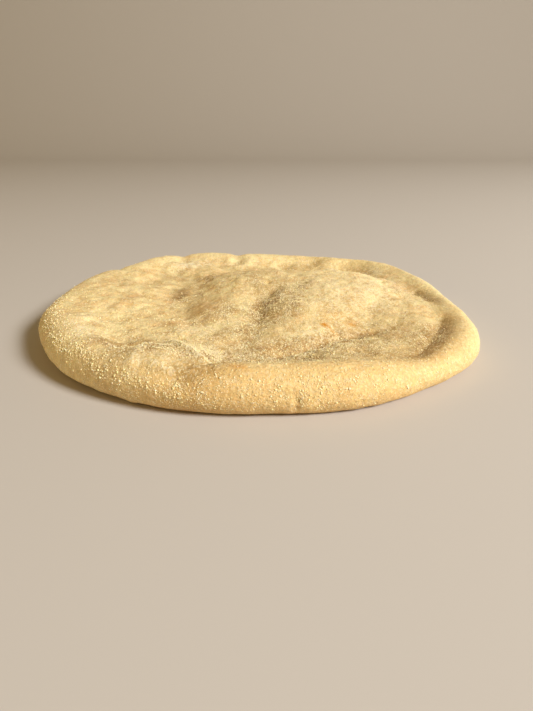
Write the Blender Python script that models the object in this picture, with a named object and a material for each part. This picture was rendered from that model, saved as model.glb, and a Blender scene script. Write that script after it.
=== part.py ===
"""Par-baked pizza base: a round of pale dough with a puffed, uneven rim.

The dough is one solid that lies on its flat underside. A fan of six triangles is divided
evenly and wrapped over the top, round the rim and down to the edge of the underside, so its
faces stay near one size. The outline and the rim's height are short sums of waves and bulges
round the edge. Lobes and creases, each with its own place and size, then shape the surface,
and the largest grains of semolina that dust it are fused on.

Frame: metres, +Z up, the front of the base towards -Y, and the origin at the centre of the
underside. All sizes below are in millimetres, and MM turns them into metres.
"""

import math
import random
from dataclasses import dataclass

import bmesh
import bpy
import numpy as np
from mathutils import Matrix, Vector

MM = 0.001
NODE_NAME = "pizza_base"

# Driving dimensions, in millimetres.
DISC_RADIUS = 118.6
RIM_HEIGHT = 18.5
FLOOR_HEIGHT = 11.5

# Cross-section of the rim: the reach of its rounded shoulder and of its rounded foot, and
# the height of its widest line as a share of the rim's height.
SHOULDER_REACH = 10.5
FOOT_REACH = 9.0
WAIST_SHARE = 0.45

# Divisions of each of the fan's six triangles.
DIVISIONS = 35

# The largest grains of semolina: how many, their half sizes along, across and out of the
# surface, how far their middles stand out of it, and the least space between two of them.
GRAIN_COUNT = 96
GRAIN_HALF_SIZES = (0.65, 0.5, 0.45)
GRAIN_RISE = 0.1
GRAIN_SPACING = 3.2
GRAIN_SEED = 11


@dataclass(frozen=True)
class Wave:
    """One cosine round the rim: its number of cycles, its height and where it peaks."""

    cycles: int
    size: float
    peak_degrees: float


@dataclass(frozen=True)
class Bulge:
    """One rounded swelling of the rim: its middle, how far it reaches, and its height."""

    middle_degrees: float
    reach_degrees: float
    size: float


@dataclass(frozen=True)
class Lobe:
    """A rounded swelling with an elliptical plan, or a hollow where its lift is negative.

    The turn is the direction of its length, in degrees from +X. A flatness of 1 gives a
    bell, and a larger one gives a flat top with steeper sides.
    """

    x: float
    y: float
    length: float
    breadth: float
    turn: float
    lift: float
    flatness: float = 1.0


@dataclass(frozen=True)
class Crease:
    """A groove along a path of points.

    A fall of 2 gives it a round bottom, and a lower one a sharper bottom with wider sides.
    """

    path: tuple
    width: float
    lift: float
    fall: float = 2.0


# The outline: each wave and bulge adds to the disc's radius.
OUTLINE_CENTRE = (-0.2, -0.8)
OUTLINE_WAVES = (
    Wave(2, 4.7, -35.7),
    Wave(3, 0.3, -11.2),
    Wave(4, 2.8, 44.4),
    Wave(5, 2.6, -28.9),
    Wave(6, 1.0, -14.8),
    Wave(7, 0.3, -18.8),
    Wave(8, 0.7, -18.3),
    Wave(9, 0.9, -1.4),
    Wave(10, 1.1, 8.9),
    Bulge(-145, 12, 2.2),
    Bulge(10, 16, 2.8),
    Bulge(30, 9, 1.6),
)

# The rim is highest at the front, and small swellings follow one another round the back.
RIM_WAVES = (
    Wave(1, 1.65, -95.0),
    Wave(2, 0.45, 76.0),
    Wave(3, 0.5, 27.0),
    Wave(9, 0.3, 96.0),
    Wave(13, 0.25, 70.0),
    Bulge(20, 22, 1.0),
)

# The shoulder is broad at the left and narrow at the back right.
SHOULDER_WAVES = (Wave(1, 3.0, 200.0), Wave(2, 1.6, -38.0))

# Width of the slope from the rim's crest down to the floor: broad at the left, where the
# rim melts into the floor, and narrow at the right.
SLOPE_WIDTH = 23.0
SLOPE_WAVES = (Wave(1, 5.0, 165.0), Wave(2, 1.0, -25.0))

# The raised middle: broad lobes that melt into each other.
MIDDLE_LOBES = (
    Lobe(x=50, y=11, length=47, breadth=34, turn=84, lift=12.5, flatness=2.0),
    Lobe(x=75, y=12, length=30, breadth=19, turn=84, lift=8.0, flatness=2.0),
    Lobe(x=90, y=44, length=20, breadth=9, turn=106, lift=4.5, flatness=1.6),
    Lobe(x=30, y=-15, length=40, breadth=29, turn=88, lift=11.0, flatness=2.1),
    Lobe(x=14, y=24, length=37, breadth=29, turn=18, lift=11.0, flatness=2.0),
    Lobe(x=-6, y=20, length=40, breadth=26, turn=96, lift=8.0, flatness=1.6),
    Lobe(x=24, y=-48, length=32, breadth=24, turn=30, lift=6.5, flatness=1.6),
    Lobe(x=-10, y=-22, length=34, breadth=22, turn=96, lift=5.5, flatness=1.6),
    Lobe(x=-30, y=-56, length=32, breadth=34, turn=0, lift=2.5),
    Lobe(x=-34, y=-84, length=20, breadth=15, turn=5, lift=7.0, flatness=1.6),
    Lobe(x=-86, y=4, length=46, breadth=30, turn=88, lift=5.0, flatness=1.5),
    Lobe(x=60, y=-78, length=40, breadth=18, turn=14, lift=5.0, flatness=1.6),
    Lobe(x=82, y=-58, length=26, breadth=18, turn=50, lift=5.0, flatness=1.4),
    Lobe(x=84, y=-24, length=44, breadth=20, turn=84, lift=5.8, flatness=2.0),
    Lobe(x=66, y=-40, length=24, breadth=12, turn=70, lift=3.8, flatness=1.6),
    Lobe(x=-42, y=78, length=22, breadth=12, turn=-35, lift=3.0, flatness=1.4),
)
MELT = 1.6

# Hollows and swellings laid over the middle and the rim.
SURFACE_LOBES = (
    Lobe(x=-33, y=-92, length=17, breadth=11, turn=-25, lift=1.6, flatness=2.0),
    Lobe(x=-29, y=-110, length=10, breadth=16, turn=-20, lift=-3.0),
    Lobe(x=68, y=-90, length=34, breadth=15, turn=30, lift=-2.6),
    Lobe(x=60, y=40, length=7, breadth=9, turn=70, lift=-1.6),
    Lobe(x=67, y=77, length=12, breadth=8, turn=-20, lift=-3.2, flatness=1.2),
    Lobe(x=42, y=88, length=7, breadth=6, turn=-10, lift=-3.0),
    Lobe(x=25, y=88, length=8, breadth=6, turn=0, lift=-2.0),
    Lobe(x=-31, y=-52, length=9, breadth=7, turn=20, lift=1.5),
    Lobe(x=-62, y=-60, length=8, breadth=6, turn=20, lift=-1.8),
    Lobe(x=-60, y=-78, length=9, breadth=5, turn=70, lift=-1.8),
    Lobe(x=-64, y=67, length=8, breadth=11, turn=30, lift=-1.5),
    Lobe(x=-69, y=41, length=8, breadth=12, turn=10, lift=-1.2),
    Lobe(x=-36, y=110, length=16, breadth=12, turn=0, lift=1.2),
    Lobe(x=7, y=110, length=16, breadth=12, turn=0, lift=1.2),
    Lobe(x=-79, y=90, length=16, breadth=12, turn=45, lift=1.2),
    Lobe(x=51, y=100, length=16, breadth=12, turn=-25, lift=1.0),
)

# Grooves in the dough.
CREASES = (
    Crease(path=((-52, 38), (-50, 18), (-46, 3)), width=6.0, lift=-1.0),
    Crease(path=((-38, 62), (-35, 44), (-33, 26), (-38, 2), (-38, -16)), width=6.0, lift=-1.0),
    Crease(path=((-38, -12), (-33, -30), (-29, -46)), width=5.5, lift=-0.8),
    Crease(path=((13, 2), (9, -12), (5, -26), (3, -42), (5, -54)),
           width=6.5, lift=-2.0, fall=1.3),
    Crease(path=((4, -52), (1, -62), (-3, -72)), width=6.0, lift=-1.0, fall=1.3),
    Crease(path=((30, 18), (25, 2), (19, -16)), width=5.0, lift=-0.8),
    Crease(path=((12, 24), (8, 8)), width=4.0, lift=-1.0),
    Crease(path=((78, 20), (83, 8)), width=4.0, lift=-1.2),
    Crease(path=((98, 14), (101, 4), (103, -10)), width=6.0, lift=-2.0, fall=1.2),
    Crease(path=((103, -32), (97, -46), (90, -60), (82, -74), (72, -86)),
           width=6.0, lift=-2.8, fall=1.2),
    Crease(path=((8, -77), (26, -71), (37, -62), (46, -56)), width=4.5, lift=-2.4, fall=1.2),
    Crease(path=((42, -57), (60, -53), (80, -47)), width=6.0, lift=-1.6, fall=1.2),
    Crease(path=((-16, -97), (-5, -94), (9, -92), (25, -92)), width=3.0, lift=-2.2),
    Crease(path=((-18, -104), (-14, -98), (-8, -93)), width=3.6, lift=-1.6, fall=1.3),
    Crease(path=((-44, -107), (-34, -109), (-22, -109)), width=4.0, lift=-1.0, fall=1.3),
    Crease(path=((-103, 68), (-83, 56)), width=5.0, lift=-1.6),
    Crease(path=((-56, 112), (-53, 86)), width=5.0, lift=-1.8),
    Crease(path=((-14, 110), (-12, 86)), width=5.0, lift=-1.5),
)

# Where semolina lies: the lift of each patch is its share of the places that take a grain.
SEMOLINA_PATCHES = (
    Lobe(x=-98, y=-46, length=60, breadth=20, turn=116, lift=1.0),
    Lobe(x=-55, y=-90, length=50, breadth=18, turn=-27, lift=1.0),
    Lobe(x=15, y=-108, length=48, breadth=12, turn=2, lift=0.7),
    Lobe(x=-20, y=-50, length=70, breadth=45, turn=0, lift=0.2),
)


def wave_height(wave, angle):
    """Height of one wave at the given angles, which are in radians."""
    return wave.size * np.cos(wave.cycles * (angle - math.radians(wave.peak_degrees)))


def bulge_height(bulge, angle):
    """Height of one bulge at the given angles, which are in radians."""
    turn = (np.degrees(angle) - bulge.middle_degrees + 180.0) % 360.0 - 180.0
    return bulge.size * np.exp(-((turn / bulge.reach_degrees) ** 2))


def round_sum(shapes, angle):
    """Adds up waves and bulges round the rim at the given angles, which are in radians."""
    total = np.zeros_like(angle)
    for shape in shapes:
        height = wave_height if isinstance(shape, Wave) else bulge_height
        total += height(shape, angle)
    return total


def smooth_step(value):
    """Rises gently from 0 to 1 as the value goes from 0 to 1."""
    value = np.clip(value, 0.0, 1.0)
    return value * value * (3.0 - 2.0 * value)


def lobe_height(lobe, x, y):
    """Height that the lobe gives to the points at x and y."""
    turn = math.radians(lobe.turn)
    along = (x - lobe.x) * math.cos(turn) + (y - lobe.y) * math.sin(turn)
    across = (y - lobe.y) * math.cos(turn) - (x - lobe.x) * math.sin(turn)
    reach = (along / lobe.length) ** 2 + (across / lobe.breadth) ** 2
    return lobe.lift * np.exp(-(reach ** lobe.flatness))


def crease_height(crease, x, y):
    """Depth that the crease cuts at the points at x and y: shallow towards its ends."""
    stretches = list(zip(crease.path[:-1], crease.path[1:]))
    nearest = np.full_like(x, np.inf)
    place = np.zeros_like(x)
    for index, ((x0, y0), (x1, y1)) in enumerate(stretches):
        dx, dy = x1 - x0, y1 - y0
        share = np.clip(((x - x0) * dx + (y - y0) * dy) / (dx * dx + dy * dy), 0.0, 1.0)
        gap = np.hypot(x - x0 - share * dx, y - y0 - share * dy)
        closer = gap < nearest
        nearest = np.where(closer, gap, nearest)
        place = np.where(closer, (index + share) / len(stretches), place)
    ends = smooth_step(np.minimum(place, 1.0 - place) * 5.0 + 0.35)
    return crease.lift * ends * np.exp(-((nearest / crease.width) ** crease.fall))


def floor_height(x, y):
    """Height of the middle of the base, where the raised lobes melt into each other."""
    lifts = [np.exp(lobe_height(lobe, x, y) / MELT) - 1.0 for lobe in MIDDLE_LOBES]
    return FLOOR_HEIGHT + MELT * np.log(1.0 + sum(lifts))


def top_height(x, y, angle, inward):
    """Height of the top at a point that lies the given distance inside the rim's crest."""
    rim = RIM_HEIGHT + round_sum(RIM_WAVES, angle)
    slope = SLOPE_WIDTH + round_sum(SLOPE_WAVES, angle)
    floor = floor_height(x, y)
    share = smooth_step(inward / slope)
    height = rim + (floor - rim) * share
    for lobe in SURFACE_LOBES:
        height = height + lobe_height(lobe, x, y)
    for crease in CREASES:
        height = height + crease_height(crease, x, y)
    return height


def wrap(ring, angle):
    """Places points of the divided fan on the dough.

    ring is 0 at the middle of the top and 1 at the edge of the underside, and angle goes
    round the base. Returns x, y and z in millimetres.
    """
    radius = DISC_RADIUS + round_sum(OUTLINE_WAVES, angle)
    shoulder_reach = SHOULDER_REACH + round_sum(SHOULDER_WAVES, angle)
    crest = radius - shoulder_reach
    rim = RIM_HEIGHT + round_sum(RIM_WAVES, angle)
    waist = WAIST_SHARE * rim
    shoulder_length = 0.5 * math.pi * math.sqrt(0.5) * np.hypot(shoulder_reach, rim - waist)
    foot_length = 0.5 * math.pi * math.sqrt(0.5) * np.hypot(FOOT_REACH, waist)
    run = ring * (crest + shoulder_length + foot_length)

    shoulder = np.clip((run - crest) / shoulder_length, 0.0, 1.0) * 0.5 * math.pi
    foot = np.clip((run - crest - shoulder_length) / foot_length, 0.0, 1.0) * 0.5 * math.pi
    reach = np.minimum(run, crest) + shoulder_reach * np.sin(shoulder)
    reach = reach - FOOT_REACH * (1.0 - np.cos(foot))
    x = OUTLINE_CENTRE[0] + reach * np.cos(angle)
    y = OUTLINE_CENTRE[1] + reach * np.sin(angle)

    top = top_height(x, y, angle, np.maximum(crest - run, 0.0))
    z = waist + (top - waist) * np.cos(shoulder) - waist * np.sin(foot)
    return x, y, z


def divided_fan():
    """Makes a flat hexagonal fan of even triangles, with a corner one unit out along +X."""
    mesh = bmesh.new()
    corner_on_x = Matrix.Rotation(math.radians(90.0), 4, "Z")
    bmesh.ops.create_circle(mesh, cap_ends=True, cap_tris=True, radius=1.0, segments=6,
                            matrix=corner_on_x)
    bmesh.ops.subdivide_edges(mesh, edges=mesh.edges[:], cuts=DIVISIONS - 1, use_grid_fill=True)
    bmesh.ops.triangulate(mesh, faces=mesh.faces[:])
    return mesh


def ring_and_angle(flat_x, flat_y):
    """Turns the fan's flat coordinates into a ring from 0 to 1 and an angle round it."""
    angle = np.arctan2(flat_y, flat_x)
    sector = math.pi / 3.0
    within = np.mod(angle, sector) - 0.5 * sector
    length = np.hypot(flat_x, flat_y) * np.cos(within) / math.cos(0.5 * sector)
    side = 0.5 + 0.5 * np.tan(within) / math.tan(0.5 * sector)
    round_angle = (np.floor(angle / sector) + side) * sector
    return length, round_angle


def dough_mesh():
    """Makes the dough as one closed mesh: the wrapped fan and the flat underside."""
    mesh = divided_fan()
    flat = np.array([vertex.co[:] for vertex in mesh.verts])
    ring, angle = ring_and_angle(flat[:, 0], flat[:, 1])
    places = np.stack(wrap(ring, angle), axis=1)
    for vertex, place in zip(mesh.verts, places):
        vertex.co = place * MM

    border = [edge for edge in mesh.edges if edge.is_boundary]
    bmesh.ops.holes_fill(mesh, edges=border, sides=0)
    bmesh.ops.triangulate(mesh, faces=[face for face in mesh.faces if len(face.verts) > 3])
    bmesh.ops.recalc_face_normals(mesh, faces=mesh.faces[:])
    data = bpy.data.meshes.new(NODE_NAME)
    mesh.to_mesh(data)
    mesh.free()
    return data


def surface_point(ring, angle):
    """Finds a point of the dough and the direction that faces out of it there."""
    step = 0.002
    rings = np.array([ring, ring + step, ring])
    angles = np.array([angle, angle, angle + step])
    here, outward, onward = (Vector(place) for place in np.stack(wrap(rings, angles), axis=1))
    return here, (outward - here).cross(onward - here).normalized()


def grain_places():
    """Picks the grains' places: a point on the dough and the way out of it, for each."""
    draw = random.Random(GRAIN_SEED)
    places = []
    while len(places) < GRAIN_COUNT:
        ring = math.sqrt(draw.random()) * 0.9
        here, out = surface_point(ring, draw.uniform(-math.pi, math.pi))
        share = sum(float(lobe_height(patch, here.x, here.y)) for patch in SEMOLINA_PATCHES)
        apart = all((here - other).length > GRAIN_SPACING for other, _ in places)
        if apart and draw.random() < share:
            places.append((here, out))
    return places


def add_grains(collection):
    """Adds one small faceted grain for each place, half sunk in the dough."""
    draw = random.Random(GRAIN_SEED + 1)
    for index, (here, out) in enumerate(grain_places()):
        grain = bmesh.new()
        bmesh.ops.create_icosphere(grain, subdivisions=1, radius=1.0)
        size = draw.uniform(0.85, 1.1) * MM
        spin = Matrix.Rotation(draw.uniform(0.0, math.pi), 4, "Z")
        facing = out.to_track_quat("Z", "Y").to_matrix().to_4x4()
        move = Matrix.Translation((here + out * GRAIN_RISE) * MM)
        shape = Matrix.Diagonal([half * size for half in GRAIN_HALF_SIZES] + [1.0])
        bmesh.ops.transform(grain, matrix=move @ facing @ spin @ shape, verts=grain.verts[:])
        data = bpy.data.meshes.new(f"grain_{index}")
        grain.to_mesh(data)
        grain.free()
        collection.objects.link(bpy.data.objects.new(f"grain_{index}", data))


def fuse_grains(base):
    """Joins the grains to the dough with one Boolean union, and removes the loose ones."""
    grains = bpy.data.collections.new("grains")
    bpy.context.scene.collection.children.link(grains)
    add_grains(grains)
    union = base.modifiers.new("grains", "BOOLEAN")
    union.operation = "UNION"
    union.solver = "EXACT"
    union.operand_type = "COLLECTION"
    union.collection = grains
    fused = base.evaluated_get(bpy.context.evaluated_depsgraph_get())
    base.data = bpy.data.meshes.new_from_object(fused)
    base.modifiers.clear()
    for grain in list(grains.objects):
        bpy.data.objects.remove(grain, do_unlink=True)
    bpy.data.collections.remove(grains)


def finish_mesh(data):
    """Splits the faces into triangles, and puts the origin under the middle of the base."""
    mesh = bmesh.new()
    mesh.from_mesh(data)
    bmesh.ops.triangulate(mesh, faces=mesh.faces[:])
    for axis in (0, 1):
        places = [vertex.co[axis] for vertex in mesh.verts]
        middle = 0.5 * (min(places) + max(places))
        for vertex in mesh.verts:
            vertex.co[axis] -= middle
    mesh.to_mesh(data)
    mesh.free()
    data.shade_smooth()
    data.set_sharp_from_angle(angle=math.radians(40.0))


def dough_material():
    """Pale, dry baked dough."""
    material = bpy.data.materials.new("baked_dough")
    material.use_nodes = True
    surface = material.node_tree.nodes["Principled BSDF"]
    surface.inputs["Base Color"].default_value = (0.80, 0.62, 0.36, 1.0)
    surface.inputs["Roughness"].default_value = 0.8
    surface.inputs["Metallic"].default_value = 0.0
    return material


def main():
    for thing in list(bpy.data.objects):
        bpy.data.objects.remove(thing, do_unlink=True)
    base = bpy.data.objects.new(NODE_NAME, dough_mesh())
    bpy.context.scene.collection.objects.link(base)
    fuse_grains(base)
    finish_mesh(base.data)
    base.data.materials.append(dough_material())


main()
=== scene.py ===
"""Looks of a par-baked pizza base: pale, puffed dough that is dusted with semolina.

One piece of dough stands for the plain solid of the frame. It has the same form, worked out
from the same named sizes, and the fine relief of a baked skin over it: soft lumps, wrinkles,
thin folds, small dents and pinholes. Grains of semolina lie on it as real meshes, in drifts
round the rim and thinly over the middle.

The dough is worked out in millimetres, in the frame's own axes: +X to the right, -Y to the
front, +Z up. It is then fitted into the box of the frame's solid, in metres.
"""

import logging
import math
from dataclasses import dataclass
from enum import Enum

import bmesh
import bpy
import numpy as np
from bpy.types import Material, Mesh, Node, NodeSocket, Object
from mathutils import Matrix, Vector, noise

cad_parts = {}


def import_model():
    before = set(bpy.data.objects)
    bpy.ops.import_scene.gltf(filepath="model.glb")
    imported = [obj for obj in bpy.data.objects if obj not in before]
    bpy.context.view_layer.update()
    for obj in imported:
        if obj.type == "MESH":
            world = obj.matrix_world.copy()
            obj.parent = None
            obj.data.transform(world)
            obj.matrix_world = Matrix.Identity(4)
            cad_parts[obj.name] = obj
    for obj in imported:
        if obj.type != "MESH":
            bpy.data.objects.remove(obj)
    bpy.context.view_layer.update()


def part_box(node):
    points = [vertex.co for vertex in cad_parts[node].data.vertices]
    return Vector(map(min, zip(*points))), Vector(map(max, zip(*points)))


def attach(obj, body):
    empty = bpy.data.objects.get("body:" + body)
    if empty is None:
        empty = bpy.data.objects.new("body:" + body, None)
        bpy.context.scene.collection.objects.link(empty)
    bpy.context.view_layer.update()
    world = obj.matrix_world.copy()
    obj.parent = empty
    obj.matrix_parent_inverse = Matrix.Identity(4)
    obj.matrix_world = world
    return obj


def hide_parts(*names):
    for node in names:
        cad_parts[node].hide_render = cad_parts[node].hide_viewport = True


LOG = logging.getLogger("pizza_base")

MM = 0.001
NODE = "pizza_base"
BODY = "root"

Array = np.ndarray
Colour = tuple[float, float, float, float]
Feeds = dict[str | int, object]


def screen_colour(red: int, green: int, blue: int) -> Colour:
    """Turns a colour as a screen shows it into the linear colour that shaders use.

    Args:
        red: Red from 0 to 255.
        green: Green from 0 to 255.
        blue: Blue from 0 to 255.

    Returns:
        Linear red, green, blue and an alpha of 1.
    """
    linear = [
        value / 12.92 if value <= 0.04045 else ((value + 0.055) / 1.055) ** 2.4
        for value in (red / 255.0, green / 255.0, blue / 255.0)
    ]
    return (linear[0], linear[1], linear[2], 1.0)


def smooth_step(value: Array) -> Array:
    """Rises gently from 0 to 1 as the value goes from 0 to 1."""
    value = np.clip(value, 0.0, 1.0)
    return value * value * (3.0 - 2.0 * value)


# ---------------------------------------------------------------- the shapes of the form


@dataclass(frozen=True)
class Wave:
    """One cosine round the rim: its number of cycles, its height and where it peaks."""

    cycles: int
    size: float
    peak_degrees: float

    def at(self, angle: Array) -> Array:
        """Value of the wave at the given angles, which are in radians."""
        return self.size * np.cos(self.cycles * (angle - math.radians(self.peak_degrees)))


@dataclass(frozen=True)
class Bulge:
    """A swelling over part of the way round the rim: its middle, its reach and its height."""

    middle_degrees: float
    reach_degrees: float
    size: float

    def at(self, angle: Array) -> Array:
        """Value of the bulge at the given angles, which are in radians."""
        turn = (np.degrees(angle) - self.middle_degrees + 180.0) % 360.0 - 180.0
        return self.size * np.exp(-((turn / self.reach_degrees) ** 2))


@dataclass(frozen=True)
class Lobe:
    """A rounded swelling with an elliptical plan, or a hollow where its lift is negative.

    The turn is the direction of its length, in degrees from +X. A flatness of 1 gives a
    bell, and a larger one gives a flat top with steeper sides.
    """

    x: float
    y: float
    length: float
    breadth: float
    turn: float
    lift: float
    flatness: float = 1.0

    def at(self, x: Array, y: Array) -> Array:
        """Works out the lobe's height at some points.

        Args:
            x: The points' places to the right, in millimetres.
            y: The points' places to the back.

        Returns:
            The height that the lobe gives to each point.
        """
        turn = math.radians(self.turn)
        along = (x - self.x) * math.cos(turn) + (y - self.y) * math.sin(turn)
        across = (y - self.y) * math.cos(turn) - (x - self.x) * math.sin(turn)
        reach = (along / self.length) ** 2 + (across / self.breadth) ** 2
        return self.lift * np.exp(-(reach**self.flatness))


@dataclass(frozen=True)
class Crease:
    """A groove along a path of points, or a ridge where its lift is positive.

    A fall of 2 gives it a round bottom, and a lower one a sharper bottom with wider sides.
    """

    path: tuple[tuple[float, float], ...]
    width: float
    lift: float
    fall: float = 2.0

    def at(self, x: Array, y: Array) -> Array:
        """Works out the crease's height at some points: it gets less towards its ends.

        Args:
            x: The points' places to the right, in millimetres.
            y: The points' places to the back.

        Returns:
            The height that the crease gives to each point.
        """
        stretches = list(zip(self.path[:-1], self.path[1:]))
        nearest = np.full_like(x, np.inf)
        place = np.zeros_like(x)
        for index, ((x0, y0), (x1, y1)) in enumerate(stretches):
            dx, dy = x1 - x0, y1 - y0
            share = ((x - x0) * dx + (y - y0) * dy) / (dx * dx + dy * dy)
            share = np.clip(share, 0.0, 1.0)
            gap = np.hypot(x - x0 - share * dx, y - y0 - share * dy)
            closer = gap < nearest
            nearest = np.where(closer, gap, nearest)
            place = np.where(closer, (index + share) / len(stretches), place)
        ends = smooth_step(np.minimum(place, 1.0 - place) * 5.0 + 0.35)
        return self.lift * ends * np.exp(-((nearest / self.width) ** self.fall))


@dataclass(frozen=True)
class Spot:
    """A round place anywhere on the surface: its centre, its reach and its strength."""

    place: tuple[float, float, float]
    reach: float
    strength: float

    def at(self, places: Array) -> Array:
        """Strength of the spot at the given places, an array of x, y and z."""
        gap = np.linalg.norm(places - np.array(self.place), axis=1)
        return self.strength * np.exp(-((gap / self.reach) ** 2))


@dataclass(frozen=True)
class DoughForm:
    """The form of the dough, in millimetres: its outline, rim, floor, lobes and creases."""

    disc_radius: float = 118.6
    rim_height: float = 18.5
    floor_height: float = 11.5
    shoulder_reach: float = 10.5
    foot_reach: float = 9.0
    waist_share: float = 0.45
    slope_width: float = 23.0
    melt: float = 1.6
    under_gap: float = 0.9
    outline_centre: tuple[float, float] = (-0.2, -0.8)
    outline_waves: tuple[Wave | Bulge, ...] = (
        Wave(2, 4.7, -35.7),
        Wave(3, 0.3, -11.2),
        Wave(4, 2.8, 44.4),
        Wave(5, 2.6, -28.9),
        Wave(6, 1, -14.8),
        Wave(7, 0.3, -18.8),
        Wave(8, 0.7, -18.3),
        Wave(9, 0.9, -1.4),
        Wave(10, 1.1, 8.9),
        Bulge(-145, 12, 2.2),
        Bulge(10, 16, 2.8),
        Bulge(30, 9, 1.6),
    )
    rim_waves: tuple[Wave | Bulge, ...] = (
        Wave(1, 1.65, -95),
        Wave(2, 0.45, 76),
        Wave(3, 0.5, 27),
        Wave(9, 0.3, 96),
        Wave(13, 0.25, 70),
        Bulge(20, 22, 1),
    )
    shoulder_waves: tuple[Wave, ...] = (Wave(1, 3.0, 200.0), Wave(2, 1.6, -38.0))
    slope_waves: tuple[Wave, ...] = (Wave(1, 5.0, 165.0), Wave(2, 1.0, -25.0))
    middle_lobes: tuple[Lobe, ...] = (
        Lobe(50, 11, 47, 34, 84, 12.5, 2),
        Lobe(75, 12, 30, 19, 84, 8, 2),
        Lobe(90, 44, 20, 9, 106, 4.5, 1.6),
        Lobe(30, -15, 40, 29, 88, 11, 2.1),
        Lobe(14, 24, 37, 29, 18, 11, 2),
        Lobe(-6, 20, 40, 26, 96, 8, 1.6),
        Lobe(24, -48, 32, 24, 30, 6.5, 1.6),
        Lobe(-10, -22, 34, 22, 96, 5.5, 1.6),
        Lobe(-30, -56, 32, 34, 0, 2.5),
        Lobe(-34, -84, 20, 15, 5, 7, 1.6),
        Lobe(-86, 4, 46, 30, 88, 5, 1.5),
        Lobe(60, -78, 40, 18, 14, 5, 1.6),
        Lobe(82, -58, 26, 18, 50, 5, 1.4),
        Lobe(84, -24, 44, 20, 84, 5.8, 2),
        Lobe(66, -40, 24, 12, 70, 3.8, 1.6),
        Lobe(-42, 78, 22, 12, -35, 3, 1.4),
    )
    surface_lobes: tuple[Lobe, ...] = (
        Lobe(-33, -92, 17, 11, -25, 1.6, 2),
        Lobe(-29, -110, 10, 16, -20, -3),
        Lobe(68, -90, 34, 15, 30, -2.6),
        Lobe(60, 40, 7, 9, 70, -1.6),
        Lobe(67, 77, 12, 8, -20, -3.2, 1.2),
        Lobe(42, 88, 7, 6, -10, -3),
        Lobe(25, 88, 8, 6, 0, -2),
        Lobe(-31, -52, 9, 7, 20, 1.5),
        Lobe(-62, -60, 8, 6, 20, -1.8),
        Lobe(-60, -78, 9, 5, 70, -1.8),
        Lobe(-64, 67, 8, 11, 30, -1.5),
        Lobe(-69, 41, 8, 12, 10, -1.2),
        Lobe(-36, 110, 16, 12, 0, 1.2),
        Lobe(7, 110, 16, 12, 0, 1.2),
        Lobe(-79, 90, 16, 12, 45, 1.2),
        Lobe(51, 100, 16, 12, -25, 1),
    )
    creases: tuple[Crease, ...] = (
        Crease(((-52, 38), (-50, 18), (-46, 3)), 6, -1),
        Crease(((-38, 62), (-35, 44), (-33, 26), (-38, 2), (-38, -16)), 6, -1),
        Crease(((-38, -12), (-33, -30), (-29, -46)), 5.5, -0.8),
        Crease(((13, 2), (9, -12), (5, -26), (3, -42), (5, -54)), 6.5, -2, 1.3),
        Crease(((4, -52), (1, -62), (-3, -72)), 6, -1, 1.3),
        Crease(((30, 18), (25, 2), (19, -16)), 5, -0.8),
        Crease(((12, 24), (8, 8)), 4, -1),
        Crease(((78, 20), (83, 8)), 4, -1.2),
        Crease(((98, 14), (101, 4), (103, -10)), 6, -2, 1.2),
        Crease(((103, -32), (97, -46), (90, -60), (82, -74), (72, -86)), 6, -2.8, 1.2),
        Crease(((8, -77), (26, -71), (37, -62), (46, -56)), 4.5, -2.4, 1.2),
        Crease(((42, -57), (60, -53), (80, -47)), 6, -1.6, 1.2),
        Crease(((-16, -97), (-5, -94), (9, -92), (25, -92)), 3, -2.2),
        Crease(((-18, -104), (-14, -98), (-8, -93)), 3.6, -1.6, 1.3),
        Crease(((-44, -107), (-34, -109), (-22, -109)), 4, -1, 1.3),
        Crease(((-103, 68), (-83, 56)), 5, -1.6),
        Crease(((-56, 112), (-53, 86)), 5, -1.8),
        Crease(((-14, 110), (-12, 86)), 5, -1.5),
    )

    def radius(self, angle: Array) -> Array:
        """Distance from the middle to the widest line, at the given angles."""
        return self.disc_radius + sum(wave.at(angle) for wave in self.outline_waves)

    def shoulder(self, angle: Array) -> Array:
        """Reach of the rounded shoulder, from the rim's crest to the widest line."""
        return self.shoulder_reach + sum(wave.at(angle) for wave in self.shoulder_waves)

    def rim(self, angle: Array) -> Array:
        """Height of the rim's crest."""
        return self.rim_height + sum(wave.at(angle) for wave in self.rim_waves)

    def floor(self, x: Array, y: Array) -> Array:
        """Height of the middle, where the raised lobes melt into each other."""
        lifts = [np.exp(lobe.at(x, y) / self.melt) - 1.0 for lobe in self.middle_lobes]
        return self.floor_height + self.melt * np.log(1.0 + sum(lifts))

    def top(self, x: Array, y: Array, angle: Array, inward: Array) -> Array:
        """Works out the height of the top.

        Args:
            x: The points' places to the right, in millimetres.
            y: The points' places to the back.
            angle: The way round the outline's centre to each point, in radians.
            inward: How far inside the rim's crest each point is.

        Returns:
            The height of the top at each point.
        """
        rim = self.rim(angle)
        slope = self.slope_width + sum(wave.at(angle) for wave in self.slope_waves)
        height = rim + (self.floor(x, y) - rim) * smooth_step(inward / slope)
        for shape in (*self.surface_lobes, *self.creases):
            height = height + shape.at(x, y)
        return height

    def around(self, x: Array, y: Array) -> tuple[Array, Array]:
        """Returns how far each point is from the outline's centre, and its angle round it."""
        away_x, away_y = x - self.outline_centre[0], y - self.outline_centre[1]
        return np.hypot(away_x, away_y), np.arctan2(away_y, away_x)

    def outward(self, reach: Array, angle: Array) -> tuple[Array, Array]:
        """Returns x and y of points from their reach and angle: the other way round."""
        centre_x, centre_y = self.outline_centre
        return centre_x + reach * np.cos(angle), centre_y + reach * np.sin(angle)

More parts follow.
